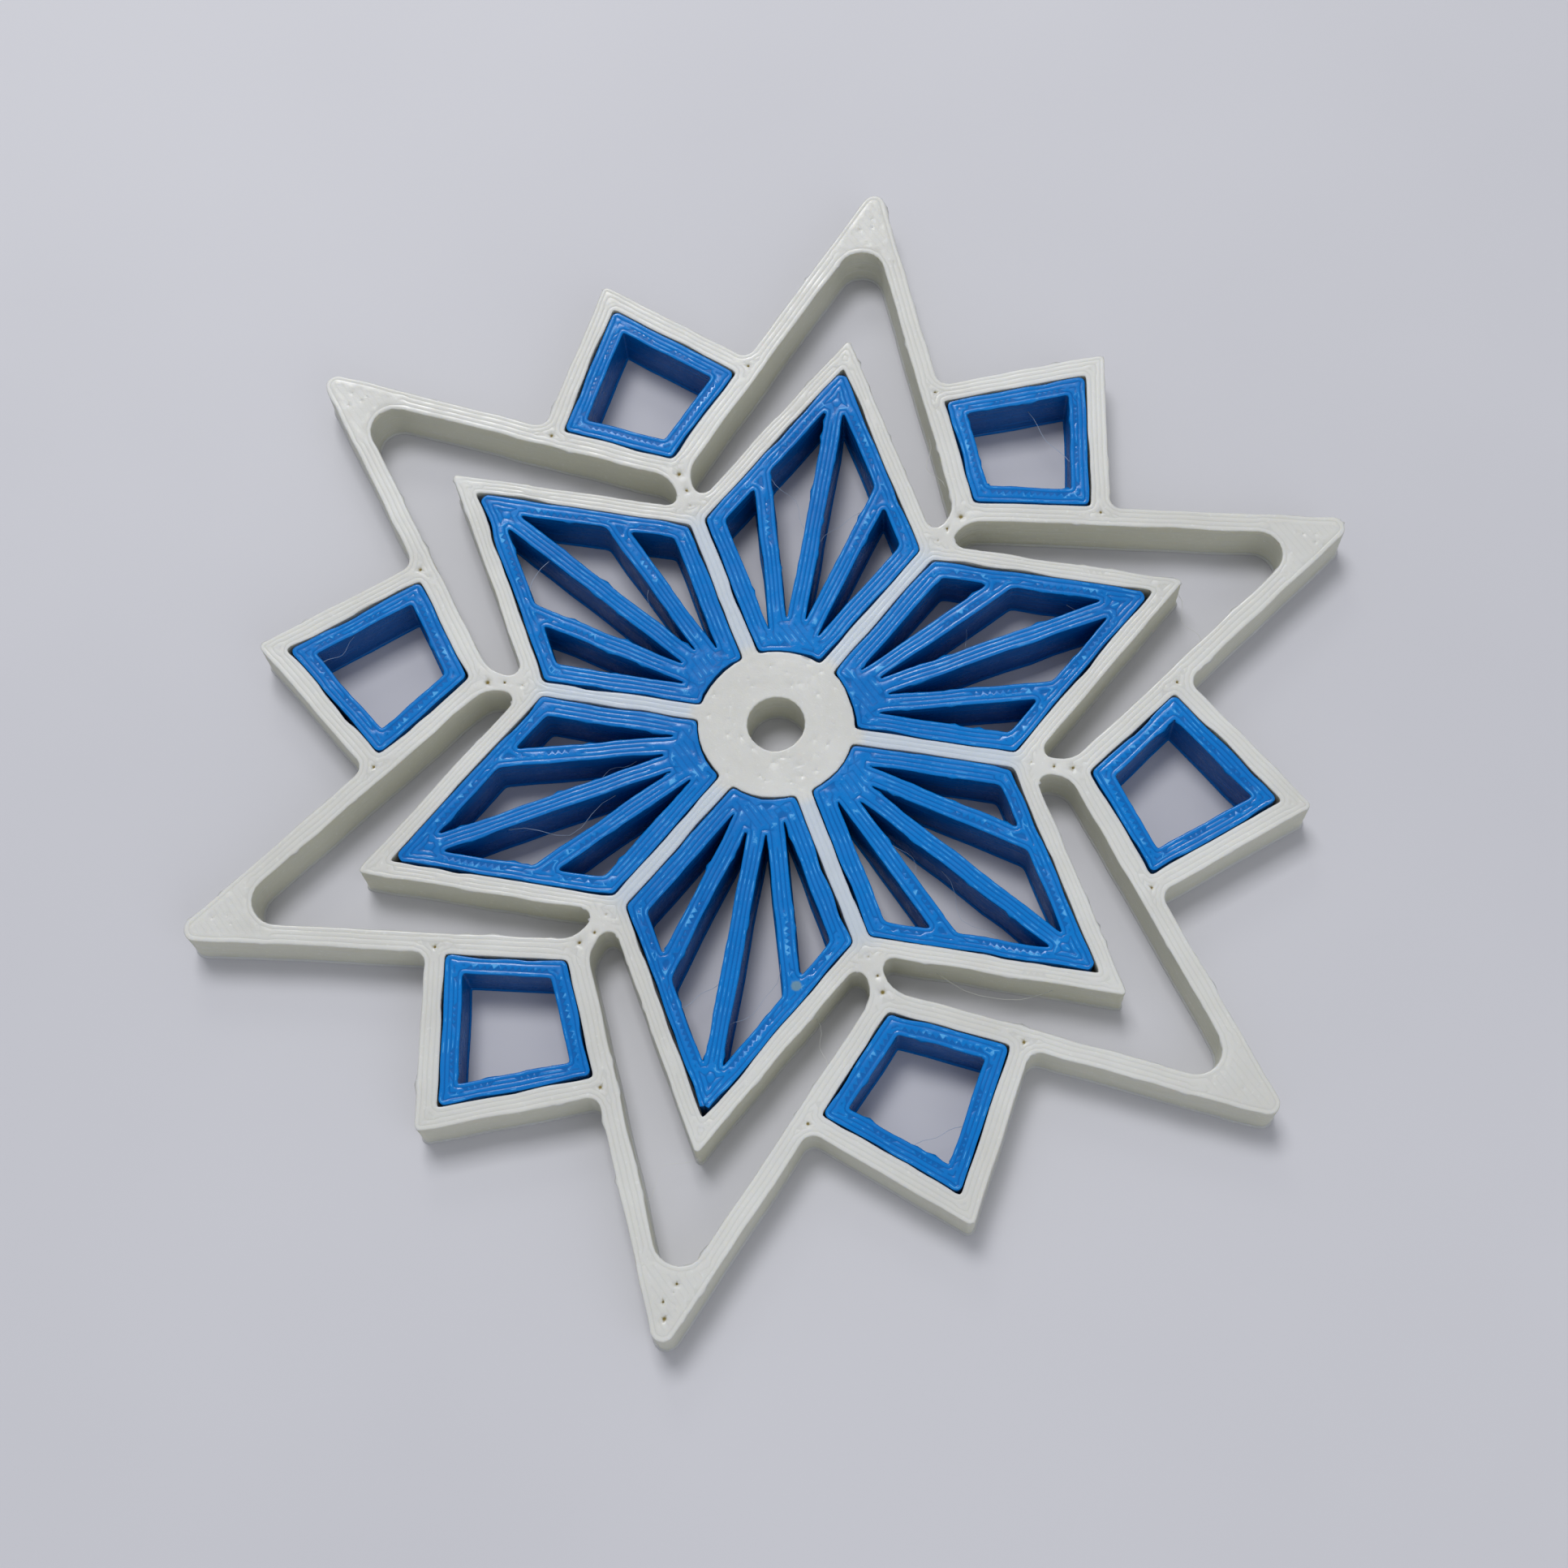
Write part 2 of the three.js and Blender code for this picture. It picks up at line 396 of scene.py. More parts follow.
def zigzag_rows(outlines, zones):
    """Points on the crests and in the grooves of the straight streaks that fill wide areas."""
    u = np.array([math.cos(STREAK_ANGLE), math.sin(STREAK_ANGLE)])
    v = np.array([-u[1], u[0]])
    found = []
    for centre, radius in zones:
        n = int(radius / (BEAD / 2)) + 1
        for j in range(-n, n + 1):
            across = (round(centre @ v / (BEAD / 2)) + j) * BEAD / 2
            for s in np.arange(-radius, radius, 0.5):
                found.append(v * across + u * (centre @ u + s + 0.25 * (j % 2)))
    if not found:
        return np.zeros((0, 2))
    found = np.array(found)
    found = found[in_zones(found, zones)]
    found = found[outlines.inside(found)]
    return found[outlines.depth(found) > FILL_DEPTH]


def in_zones(points, zones):
    """Whether each point lies in any of the round zones, given as centre and radius."""
    near = np.zeros(len(points), bool)
    for centre, radius in zones:
        near |= np.hypot(*(points - centre).T) < radius
    return near


def triangulated(points, rings):
    """Triangles of the plastic between the outlines. rings are the outlines' point numbers."""
    sides = {pair for ring in rings for pair in zip(ring, ring[1:] + ring[:1])}
    flat, _, faces, origin, _, _ = delaunay_2d_cdt(
        [Vector(p) for p in points], sorted(sides), [], 0, 1e-7
    )
    if len(flat) != len(points):
        raise ValueError(f"{len(flat)} points came from {len(points)}")
    faces = [tuple(origin[i][0] for i in face) for face in faces]
    owner = {}
    for number, (a, b, c) in enumerate(faces):
        owner[a, b] = owner[b, c] = owner[c, a] = number

    # The plastic is on the left of every outline, and reaches as far as the next outline
    inside = set()
    queue = [owner[side] for side in sides]
    while queue:
        number = queue.pop()
        if number in inside:
            continue
        inside.add(number)
        a, b, c = faces[number]
        for side in ((a, b), (b, c), (c, a)):
            if side not in sides:
                queue.append(owner[side[::-1]])
    return np.array([faces[i] for i in sorted(inside)])


def ring_numbers(edges):
    """The point numbers of each edge, when all the edges' points are numbered in turn."""
    ends = np.cumsum([len(e.points) for e in edges])
    return [list(range(end - len(e.points), end)) for e, end in zip(edges, ends)]


def groove(depth):
    """1 in the groove between two beads and 0 on a bead's crest."""
    return 0.5 + 0.5 * np.cos(2 * math.pi * depth / BEAD)


# ---- a whole piece ----


class Piece:
    """Collects the points, faces and surface marks of one printed piece."""

    def __init__(self, edges, groove_depth, seed):
        self.edges, self.groove_depth = edges, groove_depth
        self.outlines = Outlines(edges)
        self.rng = np.random.default_rng(seed)
        self.points, self.faces = [], []
        self.crest, self.pit = [], []
        self.count = 0
        shared = np.random.default_rng(WARP_SEED)  # so that neighbouring pieces waver together
        self.warp_x, self.warp_y = Waves(shared, 3, 9), Waves(shared, 3, 9)
        self.lump = Waves(self.rng, 2, 5)
        self.layer_waver = Waves(self.rng, 4, 14, layers=LAYERS + 1)
        self.edge_waver = Waves(self.rng, 3, 7)
        self.long_waver = Waves(self.rng, 6, 14)

    def add(self, flat, z, crest, pit=None):
        """Adds points and returns their numbers."""
        numbers = np.arange(self.count, self.count + len(flat))
        self.points.append(np.c_[flat, np.broadcast_to(z, len(flat))])
        self.crest.append(np.broadcast_to(crest, len(flat)).astype(float))
        self.pit.append(
            np.zeros(len(flat)) if pit is None else np.asarray(pit, float)
        )
        self.count += len(flat)
        return numbers

    def add_faces(self, faces):
        self.faces.extend(tuple(int(i) for i in f) for f in faces)

    def set_back(self, edge, flat, bend):
        """How far the outline itself wanders into the plastic, for the same place in every layer."""
        waver = 0.5 + 0.5 * self.edge_waver(flat)
        if edge.press_fit:
            waver = 0.4 * waver + 0.6 * (0.5 + 0.5 * self.long_waver(flat))
            return 0.19 * waver**3 - 0.054 + edge.blunt * bend
        return 0.04 * waver

    def wall_offset(self, edge, flat, bend, z, layer, in_groove):
        """How far a wall's point lies inside the CAD outline."""
        inset = self.set_back(edge, flat, bend)
        inset = inset + LAYER_WAVER * (1 + self.layer_waver(flat, layer))
        if in_groove:
            inset = inset + LAYER_GROOVE
        if layer == 0:
            squash = 1.0 if 0 < z < LAYER else 0.55
            inset = inset - (0 if edge.press_fit else FLARE * squash)
            inset = inset + (0.05 if edge.press_fit else 0)
        return inset

    def pit_rings(self, pits):
        """The middle of each pit and two rings of points round it, where they are on plastic."""
        rings = [np.zeros((0, 2))]
        for spot, size, _, _ in pits:
            for share, n in ((0, 1), (0.55, 6), (1.0, 9)):
                a = self.rng.uniform(0, 6.28) + np.arange(n) * 2 * math.pi / n
                r = size * share * self.rng.uniform(0.75, 1.15, n)
                rings.append(spot + np.c_[r * np.cos(a), r * np.sin(a)])
        rings = np.vstack(rings)
        rings = rings[self.outlines.inside(rings)]
        return rings[self.outlines.depth(rings) > 0.06]

    def front_points(self, zones, pits):
        """The front's bead rows, their outline points and depths, and its other points."""
        rows, source, depth = bead_rows(self.outlines, EDGE_ROW, 1)
        zigzag = zigzag_rows(self.outlines, zones)
        keep = ~(in_zones(rows, zones) & (depth > FILL_DEPTH))
        pit_zones = [(spot, size * PIT_REACH) for spot, size, _, _ in pits]
        keep &= ~in_zones(rows, pit_zones)
        rows, source, depth = rows[keep], source[keep], depth[keep]
        rings = self.pit_rings(pits)
        zigzag = zigzag[~in_zones(zigzag, pit_zones)]
        chosen = thinned(rows, rings, 0.055)
        rows, source, depth = rows[chosen], source[chosen], depth[chosen]
        zigzag = zigzag[thinned(zigzag, np.vstack([rows, rings]), 0.1)]
        return rows, source, depth, np.vstack([zigzag, rings])

    def front_dips(self, inner, depth, zones, pits, calm):
        """How deep in a groove each point is, from 0 to 1, and which points are at an edge."""
        streak = inner @ np.array([-math.sin(STREAK_ANGLE), math.cos(STREAK_ANGLE)])
        from_edge = self.outlines.depth(inner)
        in_streaks = in_zones(inner, zones) & (from_edge > FILL_DEPTH)
        in_wall = from_edge.copy()
        in_wall[: len(depth)] = depth
        dip = np.where(in_streaks, 0.85 * groove(streak), groove(in_wall))
        at_edge = from_edge < AT_EDGE
        dip[at_edge] = 0.6
        ironed = np.ones(len(inner))
        for centre, radius, share in calm:
            ironed[np.hypot(*(inner - centre).T) < radius] = share
        for spot, size, _, _ in pits:
            ironed[np.hypot(*(inner - spot).T) < size * 1.1] = 0
        return dip * ironed, at_edge

    def front_heights(self, inner, dip, pits):
        """The height of each point, and its pit mark: painted shade in the white's pits, and a scuff
        on the blue.
        """
        lumps = LUMPS * (1 + self.lump(inner))
        z = THICKNESS - self.groove_depth * dip - lumps
        pit_shade_and_scuff = np.zeros(len(inner))
        for spot, size, drop, mark in pits:
            far = np.hypot(*(inner - spot).T) / size
            hole = np.clip(PIT_REACH - far, 0, 1) ** 0.7
            z -= drop * hole
            pit_shade_and_scuff = np.maximum(pit_shade_and_scuff, hole * mark)
        return z, pit_shade_and_scuff

    def burrs(self, rim, fit):
        """How far each point of the front's edge stands out of the wall."""
        burr = self.rng.uniform(-1, 1, len(rim)) * RAGGED
        spots = self.rng.random(len(rim)) < BURRED
        burr += spots * self.rng.uniform(2, 10, len(rim)) * RAGGED
        burr[fit] *= FIT_BURR
        return burr

    def front(self, zones, pits, calm):
        """The front face. Returns each outline's point numbers."""
        rim = self.outlines.starts
        rim_in = np.vstack([e.inward for e in self.edges])
        rim_back = np.concatenate([self.set_back(e, e.points, e.bend) for e in self.edges])
        fit = np.concatenate([np.full(len(e.points), e.press_fit) for e in self.edges])
        rows, source, depth, others = self.front_points(zones, pits)
        inner = np.vstack([rows, others])
        dip, at_edge = self.front_dips(inner, depth, zones, pits, calm)
        z, pit_shade_and_scuff = self.front_heights(inner, dip, pits)
        z_rim = np.where(fit, THICKNESS - FIT_DROP, THICKNESS - EDGE_DROP)

        # The bead rows follow the wandering outline, less and less with depth
        moved = inner.copy()
        fade = np.clip(1 - depth / WANDER_DEPTH, 0, 1)[:, None]
        moved[: len(rows)] += rim_in[source] * rim_back[source][:, None] * fade
        burr = self.burrs(rim, fit)
        top_waver = LAYER_WAVER * (1 + self.layer_waver(rim, LAYERS - 1))
        rim_moved = rim + rim_in * (rim_back + top_waver - burr)[:, None]

        rings = ring_numbers(self.edges)
        faces = triangulated(np.vstack([rim, inner]), rings)
        rim_crest = np.full(len(rim), EDGE_CREST)
        numbers = self.add(
            np.vstack([rim_moved, moved]),
            np.concatenate([z_rim, z]),
            np.concatenate([rim_crest, np.where(at_edge, EDGE_CREST, 1 - dip)]),
            np.concatenate([np.zeros(len(rim)), pit_shade_and_scuff]),
        )
        self.add_faces(numbers[faces])
        return [numbers[r] for r in rings]

    def walls(self, front_rings):
        """The layered walls, from the front's rim down. Returns each outline's lowest ring."""
        lowest = []
        for edge, rim in zip(self.edges, front_rings):
            flat = edge.points[edge.column]
            inward = edge.inward[edge.column]
            bend = edge.bend[edge.column]
            above = None
            for step in range(2 * LAYERS - 2, -1, -1):
                z = step * LAYER / 2
                layer = step // 2
                in_groove = step % 2 == 0
                inset = self.wall_offset(edge, flat, bend, z, layer, in_groove)
                crest = 0.0 if in_groove else WALL_CREST
                ring = self.add(flat + inward * inset[:, None], z, crest)
                if above is None:
                    self.join_rim(rim, edge.column, ring)
                else:
                    after = np.roll(ring, -1)
                    self.add_faces(np.c_[ring, after, np.roll(above, -1), above])
                above = ring
            lowest.append(above)
        return lowest

    def join_rim(self, rim, columns, ring):
        """Joins the front's finely cut rim to the first, coarser ring of the wall."""
        ends = list(columns) + [len(rim)]
        for i, (first, last) in enumerate(zip(ends, ends[1:])):
            here, there = ring[i], ring[(i + 1) % len(ring)]
            fine = [rim[k % len(rim)] for k in range(first, last + 1)]
            middle = (len(fine) - 1) // 2
            for k in range(middle):
                self.faces.append((int(here), int(fine[k + 1]), int(fine[k])))
            self.faces.append((int(here), int(there), int(fine[middle])))
            for k in range(middle, len(fine) - 1):
                self.faces.append((int(there), int(fine[k + 1]), int(fine[k])))

    def back(self, lowest):
        """The back face, which the print bed pressed nearly flat."""
        coarse = [CoarseEdge(e) for e in self.edges]
        outlines = Outlines(coarse)
        rim = outlines.starts
        rows, _, depth = bead_rows(outlines, BACK_EDGE_ROW, 2)
        chosen = thinned(rows, rim, 0.14)
        rows, depth = rows[chosen], depth[chosen]
        faces = triangulated(np.vstack([rim, rows]), ring_numbers(coarse))
        dip = groove(depth)
        inner = self.add(
            rows,
            0.006 + FIRST_LAYER_GROOVE * dip + 0.003 * self.lump(rows),
            0.5 - 0.5 * dip,
        )
        numbers = np.concatenate([np.concatenate(lowest), inner])
        self.add_faces(numbers[faces][:, ::-1])

    def hairs(self, count, longest):
        """Stray strands that the nozzle drew across the openings."""
        windows = [e for e in self.edges if not e.press_fit and area(e.points) < -WINDOW]
        made = tries = 0
        while windows and made < count and tries < 400:
            tries += 1
            edge = windows[self.rng.integers(len(windows))]
            a, b = edge.points[self.rng.integers(len(edge.points), size=2)]
            span = np.hypot(*(b - a))
            if not 1.5 < span < longest:
                continue
            t = np.linspace(0, 1, 9)
            side = np.array([a[1] - b[1], b[0] - a[0]]) / span
            bow = self.rng.uniform(-0.22, 0.22) * span
            kink = self.rng.uniform(-0.06, 0.06) * span
            path = a + (b - a) * t[:, None]
            path += side * (bow * np.sin(math.pi * t) + kink * np.sin(3 * math.pi * t))[:, None]
            if self.outlines.depth(path[2:-2]).min() < 0.12:
                continue
            if self.outlines.inside(path[1:-1]).any():
                continue
            low, high = THICKNESS * self.rng.uniform(0.4, 0.9, 2)
            height = low + (high - low) * t - 0.5 * np.sin(math.pi * t)
            radius = self.rng.uniform(0.016, 0.03) * (1 - 0.45 * np.sin(math.pi * t))
            path[0] -= (b - a) / span * 0.1
            path[-1] += (b - a) / span * 0.1
            self.tube(np.c_[path, height], radius)
            made += 1

    def tube(self, path, radius, sides=5):
        """A round strand along a path, with a radius at each of its points."""
        along = np.gradient(path, axis=0)
        along /= np.linalg.norm(along, axis=1)[:, None]
        side = np.cross(along, [0, 0, 1.0])
        side /= np.linalg.norm(side, axis=1)[:, None]
        up = np.cross(side, along)
        rings = []
        for k in range(sides):
            a = 2 * math.pi * k / sides
            rings.append(
                path + radius[:, None] * (side * math.cos(a) + up * math.sin(a))
            )
        flat = np.stack(rings, 1).reshape(-1, 3)
        numbers = self.add(flat[:, :2], flat[:, 2], HAIR_CREST).reshape(-1, sides)
        for lower, upper in zip(numbers, numbers[1:]):
            after = np.roll(lower, -1), np.roll(upper, -1)
            self.add_faces(np.c_[lower, after[0], after[1], upper])
        self.add_faces([numbers[0][::-1], numbers[-1]])

    def build(self, name, zones, pits, calm, nudge, hair):
        """The finished object. nudge is a small turn and move of the whole piece, or None."""
        rims = self.front(zones, pits, calm)
        self.back(self.walls(rims))
        self.hairs(*hair)
        points = np.vstack(self.points)
        bend = np.c_[self.warp_x(points[:, :2]), self.warp_y(points[:, :2])]
        points[:, :2] += WARP * bend
        if nudge is not None:
            centre = points[:, :2].mean(0)
            turn, move = nudge
            c, s = math.cos(turn), math.sin(turn)
            points[:, :2] = (points[:, :2] - centre) @ np.array([[c, s], [-s, c]])
            points[:, :2] += centre + move
        mesh = bpy.data.meshes.new(name)
        mesh.from_pydata((points * MM).tolist(), [], self.faces)
        for label, values in (("crest", self.crest), ("pit", self.pit)):
            mark = mesh.attributes.new(label, "FLOAT", "POINT")
            mark.data.foreach_set("value", np.concatenate(values).astype(np.float32))
        mesh.shade_smooth()
        ends = np.empty(2 * len(mesh.edges), np.int32)
        mesh.edges.foreach_get("vertices", ends)
        grooved = (np.concatenate(self.crest) < CREASE)[ends.reshape(-1, 2)].all(1)
        crease = mesh.attributes.new("sharp_edge", "BOOLEAN", "EDGE")
        crease.data.foreach_set("value", grooved)
        piece = bpy.data.objects.new(name, mesh)
        bpy.context.scene.collection.objects.link(piece)
        return piece


class CoarseEdge:
    """The wall's columns of an edge, as an outline of their own."""

    def __init__(self, edge):
        self.points = edge.points[edge.column]
        self.inward = edge.inward[edge.column]



# ---- materials ----


class Nodes:
    """Adds nodes to a material and joins them."""

    def __init__(self, material):
        material.use_nodes = True
        self.tree = material.node_tree
        self.shader = self.tree.nodes["Principled BSDF"]

    def node(self, kind, values=None, **settings):
        made = self.tree.nodes.new(kind)
        for name, value in settings.items():
            setattr(made, name, value)
        for socket, value in (values or {}).items():
            if hasattr(value, "is_output"):
                self.tree.links.new(value, made.inputs[socket])
            else:
                made.inputs[socket].default_value = value
        return made

    def noise(self, scale, detail=3.0, roughness=0.5, stretch=(1, 1, 1)):
        place = self.node("ShaderNodeTexCoord").outputs["Object"]
        mapped = self.node(
            "ShaderNodeMapping", {"Vector": place, "Scale": stretch}
        ).outputs[0]
        return self.node(
            "ShaderNodeTexNoise",
            {"Vector": mapped, "Scale": scale, "Detail": detail, "Roughness": roughness},
        ).outputs["Fac"]

    def ramp(self, value, low, high, to_low=0.0, to_high=1.0):
        return self.node(
            "ShaderNodeMapRange",
            {0: value, 1: low, 2: high, 3: to_low, 4: to_high},
            interpolation_type="SMOOTHSTEP",
        ).outputs[0]

    def maths(self, operation, a, b):
        return self.node("ShaderNodeMath", {0: a, 1: b}, operation=operation).outputs[0]

    def mix(self, amount, a, b):
        return self.node(
            "ShaderNodeMix", {"Factor": amount, 6: a, 7: b}, data_type="RGBA"
        ).outputs[2]

    def mark(self, name):
        return self.node("ShaderNodeAttribute", attribute_name=name).outputs["Fac"]

    def wall(self):
        """1 on an upright wall and 0 on the front and back."""
        normal = self.node("ShaderNodeNewGeometry").outputs["True Normal"]
        z = self.node("ShaderNodeSeparateXYZ", {0: normal}).outputs[2]
        return self.ramp(self.maths("ABSOLUTE", z, 0.0), 0.75, 0.35)

    def plug(self, socket, value):
        if hasattr(value, "is_output"):
            self.tree.links.new(value, self.shader.inputs[socket])
        else:
            self.shader.inputs[socket].default_value = value

    def bump(self, height, strength, depth_mm):
        made = self.node(
            "ShaderNodeBump",
            {"Strength": strength, "Distance": depth_mm * MM, "Height": height},
        )
        self.plug("Normal", made.outputs[0])


def white_plastic():
    material = bpy.data.materials.new("white_print")
    n = Nodes(material)
    cloud = n.ramp(n.noise(90, 4), 0.35, 0.7)
    colour = n.mix(cloud, (0.62, 0.62, 0.59, 1), (0.685, 0.69, 0.665, 1))
    # Painted shade: the upright walls get a duller, yellower colour than the front
    colour = n.mix(n.maths("MULTIPLY", n.wall(), 0.8), colour, (0.62, 0.62, 0.50, 1))
    speck = n.ramp(n.noise(2600, 2), 0.6, 0.78, 0.0, 0.5)
    colour = n.mix(speck, colour, (0.76, 0.77, 0.75, 1))
    # Painted shade: the grooves between beads and layers are darkened
    painted_groove_shade = n.ramp(n.mark("crest"), 0.5, 0.0, 0.0, 0.17)
    colour = n.mix(painted_groove_shade, colour, (0.42, 0.43, 0.40, 1))

    # The spokes are thin enough for the blue on both sides to shine through
    place = n.node("ShaderNodeTexCoord").outputs["Object"]
    flat = n.node("ShaderNodeVectorMath", {0: place, 1: (1, 1, 0)}, operation="MULTIPLY")
    radius = n.node(
        "ShaderNodeVectorMath", {0: flat.outputs[0]}, operation="LENGTH"
    ).outputs["Value"]
    spokes = n.maths(
        "MULTIPLY",
        n.ramp(radius, (HUB_RADIUS + 0.3) * MM, (HUB_RADIUS + 1.3) * MM),
        n.ramp(radius, (WEB_START + 1.5) * MM, (WEB_START - 1.0) * MM),
    )
    colour = n.mix(n.maths("MULTIPLY", spokes, 0.6), colour, (0.47, 0.57, 0.70, 1))
    # Painted shade: pits and holes are darkened, the more the deeper they are
    colour = n.mix(n.ramp(n.mark("pit"), 0.15, 0.9), colour, (0.30, 0.23, 0.06, 1))
    n.plug("Base Color", colour)
    n.plug("Roughness", n.ramp(n.noise(700, 3), 0.3, 0.7, 0.36, 0.52))
    n.plug("Subsurface Weight", 0.35)
    n.plug("Subsurface Radius", (1.0, 0.85, 0.55))
    n.plug("Subsurface Scale", 1.2 * MM)
    n.plug("Specular IOR Level", 0.5)
    fine = n.maths("ADD", n.noise(1900, 3), n.maths("MULTIPLY", n.noise(7000, 2), 0.5))
    n.bump(fine, 0.5, 0.03)
    return material


def blue_plastic():
    material = bpy.data.materials.new("blue_print")
    n = Nodes(material)
    cloud = n.ramp(n.noise(110, 4), 0.3, 0.7)
    colour = n.mix(cloud, (0.0, 0.160, 0.53, 1), (0.0, 0.195, 0.61, 1))
    # Painted shade: the grooves between beads and layers are darkened
    painted_groove_shade = n.ramp(n.mark("crest"), 0.55, 0.0, 0.0, 0.45)
    colour = n.mix(painted_groove_shade, colour, (0.0, 0.055, 0.25, 1))
    # Painted highlight: pale dashes along the bead crests
    dashes = n.ramp(n.noise(850, 4, 0.6), 0.52, 0.62)
    crest = n.ramp(n.mark("crest"), 0.74, 1.0)
    painted_crest_highlight = n.maths("MULTIPLY", n.maths("MULTIPLY", dashes, crest), 0.75)
    colour = n.mix(painted_crest_highlight, colour, (0.12, 0.46, 0.86, 1))
    scuffed = n.ramp(n.mark("pit"), 0.2, 0.6)
    colour = n.mix(scuffed, colour, (0.14, 0.27, 0.38, 1))
    hair = n.ramp(n.mark("crest"), 1.2, 1.8)
    colour = n.mix(hair, colour, (0.42, 0.52, 0.66, 1))
    # Painted shade: the upright walls are darkened
    colour = n.mix(n.maths("MULTIPLY", n.wall(), 0.7), colour, (0.0, 0.055, 0.24, 1))
    n.plug("Base Color", colour)
    n.plug("Roughness", n.ramp(n.noise(800, 3), 0.3, 0.7, 0.22, 0.42))
    n.plug("Specular IOR Level", 0.24)
    fine = n.maths("ADD", n.noise(2100, 3), n.maths("MULTIPLY", n.noise(7000, 2), 0.5))
    n.bump(fine, 0.55, 0.03)
    return material


def floor_material():
    material = bpy.data.materials.new("pale_floor")
    n = Nodes(material)
    cloud = n.ramp(n.noise(9, 4), 0.3, 0.7)
    n.plug("Base Color", n.mix(cloud, (0.565, 0.565, 0.605, 1), (0.61, 0.61, 0.65, 1)))
    n.plug("Roughness", 0.6)
    return material


# ---- the pieces ----

finishes = {"white_print": white_plastic(), "blue_print": blue_plastic()}
WORN_TIP = 3  # the point along -Y, whose beads left open holes
WORN_PETAL = "petal_insert_4"
TIP_BLUNT = {f"petal_insert_{i + 1}": 0.12 for i in range(SECTORS)} | {WORN_PETAL: 0.45}
HUB_DENTS = 40


def pit(spot, size, drop):
    """A hole of a given radius and depth, with painted shade that is darker the deeper it is."""
    return spot, size, drop, min(1, drop / 0.3)


def web_pits(rng, web):
    """Holes along the middle of a web, larger towards the kite."""
    pits = []
    for share, size, drop in ((1 / 4, 0.10, 0.15), (1 / 2, 0.13, 0.3), (3 / 4, 0.18, 0.4)):
        radius = WEB_START + share * WEB_LENGTH + rng.uniform(-0.2, 0.2)
        spot = polar(radius, web + rng.uniform(-0.5, 0.5))
        pits.append(pit(spot, size * rng.uniform(0.75, 1.15), drop))
    return pits


def tip_pits(rng, number):
    """Shallow dents in the solid part of a star tip, and open holes in the worn one."""
    pits = []
    for _ in range(rng.integers(2, 5)):
        radius = SLOT_TOP + SOLID_TIP * rng.uniform(0.25, 0.65)
        spot = polar(radius, TIPS[number] + rng.uniform(-1.0, 1.0))
        pits.append(pit(spot, rng.uniform(0.07, 0.12), rng.uniform(0.04, 0.10)))
    if number == WORN_TIP:
        for share in (1 / 4, 1 / 2, 3 / 4):
            radius = SLOT_TOP + SOLID_TIP * share + rng.uniform(-0.4, 0.4)
            spot = polar(radius, TIPS[number] + rng.uniform(-0.6, 0.6))
            pits.append(pit(spot, rng.uniform(0.08, 0.19), 0.35))
    return pits


def frame_pits(rng):
    """Where beads of neighbouring walls fail to meet: at the webs, the kites' feet and the tips."""
    plastic = plastic_of("snowflake_frame")
    pits = []
    for number, web in enumerate(WEBS):
        pits += web_pits(rng, web)
        pits += tip_pits(rng, number)
    for pocket in openings["kite"]:
        for corner in wide_corners(pocket):
            spot = widest_spot(plastic, corner, 2.0) + rng.uniform(-0.15, 0.15, 2)
            pits.append(pit(spot, rng.uniform(0.10, 0.16), 0.3))
    for _ in range(HUB_DENTS):
        spot = polar(rng.uniform(HOLE_RADIUS + 0.5, HUB_RADIUS - 0.4), rng.uniform(0, 360))
        if all(np.hypot(*(spot - p[0])) > 0.6 for p in pits):
            pits.append(pit(spot, rng.uniform(0.07, 0.15), rng.uniform(0.02, 0.08)))
    return pits


def rib_foot(node):
    """Where a side rib of a petal insert runs into its rim, on the +X side."""
    beside = [loop for loop in loops[node] if area(loop) < 0 and loop[:, 0].mean() > 0]
    window = max(beside, key=area)
    corner = window[np.hypot(*window.T).argmax()]
    return widest_spot(plastic_of(node), corner, 1.2)


def hub_end(node):
    """The solid end of a petal insert, from its hollow edge to where the ribs part."""
    nearest = [np.hypot(*loop.T).min() for loop in loops[node]]
    near, far = min(nearest), max(nearest)
    middle = np.vstack(loops[node]).mean(0)
    return middle / np.hypot(*middle) * (near + far) / 2, far - near


def edges_of(node):
    """The edges of a node, the ones that are pressed against another piece marked as such."""
    corner = KITE_CORNER if "kite" in node else CORNER
    edges = []
    for loop in loops[node]:
        press_fit = area(loop) > 0
        if node == "snowflake_frame":
            press_fit = not press_fit and job(loop) in ("petal", "kite")
        edges.append(Edge(loop, press_fit, corner, TIP_BLUNT.get(node, 0.0)))
    return edges


def frame_features(rng):
    """What Piece.build is told about the white frame. hair is how many, and the longest."""
    calm = [(np.zeros(2), HUB_RADIUS, 0.4)]
    calm += [(polar(WEB_START + WEB_LENGTH / 2, web), WEB_LENGTH / 4, 0.35) for web in WEBS]
    return {
        "zones": [(polar(SLOT_TOP + SOLID_TIP / 2, tip), 0.7 * SOLID_TIP) for tip in TIPS],
        "pits": frame_pits(rng),
        "calm": calm,
        "nudge": None,
        "hair": (5, 9.0),
    }


def insert_features(rng, node, number):
    """The same for a blue insert, which sits a little off its nominal place."""
    petal = "petal" in node
    rubbed = [(rib_foot(node), 0.42, 0.01, 1.0)] if node == WORN_PETAL else []
    return {
        "zones": [hub_end(node)] if petal else [],
        "pits": rubbed,
        "calm": [],
        "nudge": (math.radians(rng.uniform(-0.03, 0.03)), rng.uniform(-0.012, 0.012, 2)),
        "hair": (2, 12.0) if petal else (number % 2, 6.0),
    }


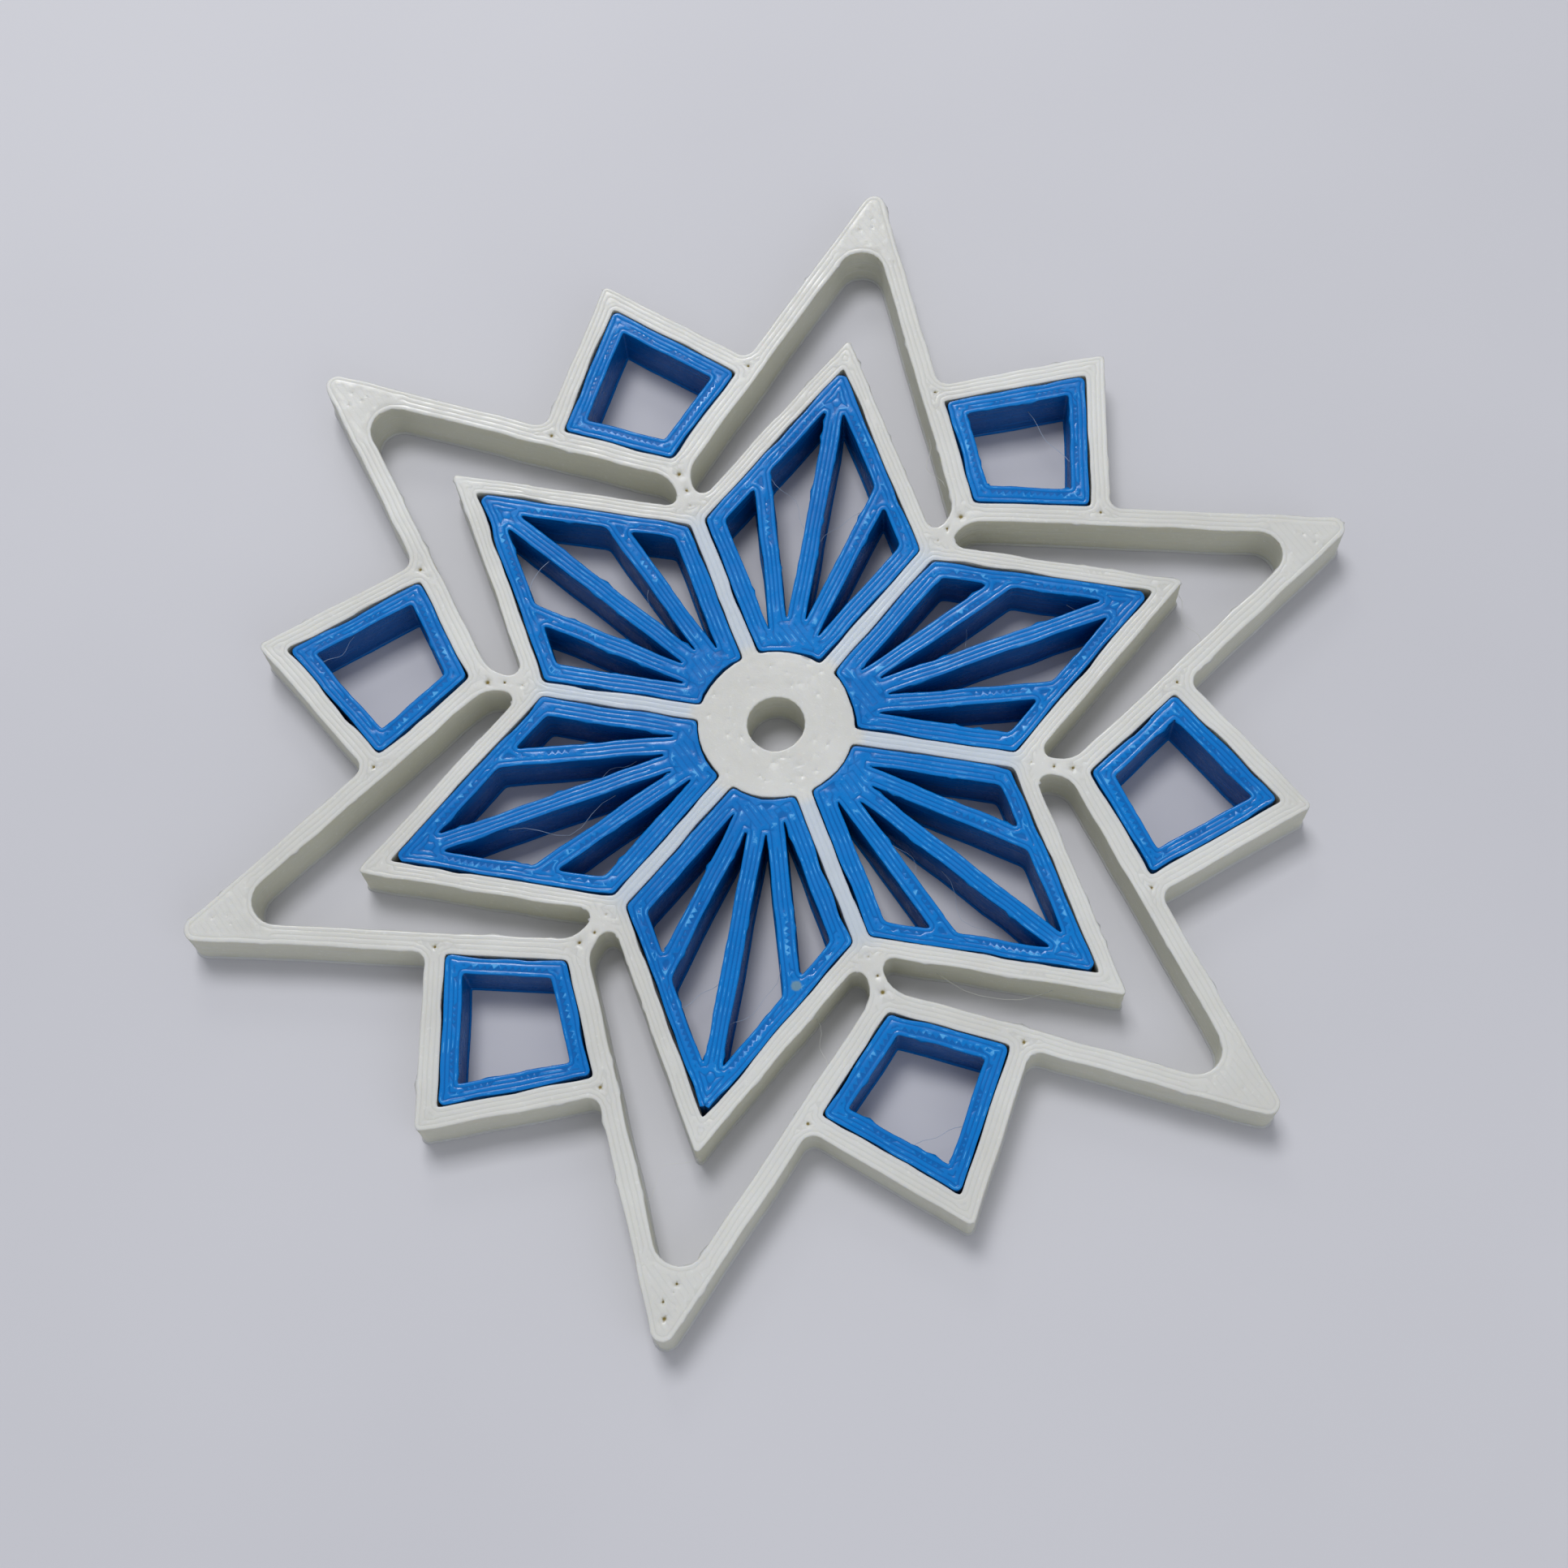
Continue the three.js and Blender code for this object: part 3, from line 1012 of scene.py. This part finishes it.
rng = np.random.default_rng(SEED)
for number, node in enumerate(sorted(slots)):
    slot = slots[node]
    if slot == "white_print":
        features = frame_features(rng)
    else:
        features = insert_features(rng, node, number)
    builder = Piece(edges_of(node), GROOVE[slot], PIECE_SEED + number)
    piece = builder.build("printed_" + node, **features)
    piece.data.materials.append(finishes[slot])
    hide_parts(node)
    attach(piece, body_of[node])

# ---- floor, light and camera ----

FLOOR_SIDE = 1.5
floor_mesh = bpy.data.meshes.new("floor")
floor_mesh.from_pydata(
    [(x * FLOOR_SIDE, y * FLOOR_SIDE, 0) for x, y in ((-1, -1), (1, -1), (1, 1), (-1, 1))],
    [],
    [(0, 1, 2, 3)],
)
floor = bpy.data.objects.new("floor", floor_mesh)
floor.location.z = -0.02 * MM  # clear of the star's back
floor_mesh.materials.append(floor_material())
bpy.context.scene.collection.objects.link(floor)


def area_light(name, position, size, power, colour):
    """A square soft light that faces the middle of the star."""
    data = bpy.data.lights.new(name, "AREA")
    data.size, data.energy, data.color = size, power, colour
    lamp = bpy.data.objects.new(name, data)
    lamp.location = position
    lamp.rotation_euler = (-Vector(position)).to_track_quat("-Z", "Y").to_euler()
    bpy.context.scene.collection.objects.link(lamp)
    return lamp


key = area_light("key", (-0.24, 0.40, 1.16), 0.44, 7.8, (1.0, 1.0, 1.0))
key.visible_glossy = False
sheen = area_light("sheen", (-0.19, 0.49, 0.44), 0.16, 3.4, (1.0, 1.0, 1.0))
sheen.visible_diffuse = False
area_light("fill", (0.45, -0.40, 0.50), 0.60, 0.7, (0.95, 0.97, 1.0))

world = bpy.data.worlds.new("studio")
world.use_nodes = True
world.node_tree.nodes["Background"].inputs[0].default_value = (0.80, 0.82, 0.87, 1)
world.node_tree.nodes["Background"].inputs[1].default_value = 0.49
bpy.context.scene.world = world
bpy.context.scene.view_settings.view_transform = "Standard"

# How far round the star and above it the camera stands, and how far its picture is turned
STAR_HEIGHT = (cad_box[1] - cad_box[0]).y
LOOK_AZIMUTH = math.radians(14.8)  # from -Y towards +X
LOOK_ELEVATION = math.radians(70.3)
LOOK_ROLL = math.radians(-5.2)
LOOK_DISTANCE = 2.065 * STAR_HEIGHT

# The camera looks at a point on the front, a little right of and below the middle
aim = Vector((0.015 * STAR_HEIGHT, -0.05 * STAR_HEIGHT, cad_box[1].z))
level = math.cos(LOOK_ELEVATION)
away = Vector((
    level * math.sin(LOOK_AZIMUTH),
    -level * math.cos(LOOK_AZIMUTH),
    math.sin(LOOK_ELEVATION),
))
lens = bpy.data.cameras.new("camera")
lens.sensor_width = 36  # millimetres, as the focal length is
lens.lens = 59.1
lens.clip_start = 0.01
camera = bpy.data.objects.new("camera", lens)
camera.location = aim + away * LOOK_DISTANCE
turn = (-away).to_track_quat("-Z", "Y") @ Quaternion((0, 0, 1), LOOK_ROLL)
camera.rotation_euler = turn.to_euler()
bpy.context.scene.collection.objects.link(camera)
bpy.context.scene.camera = camera
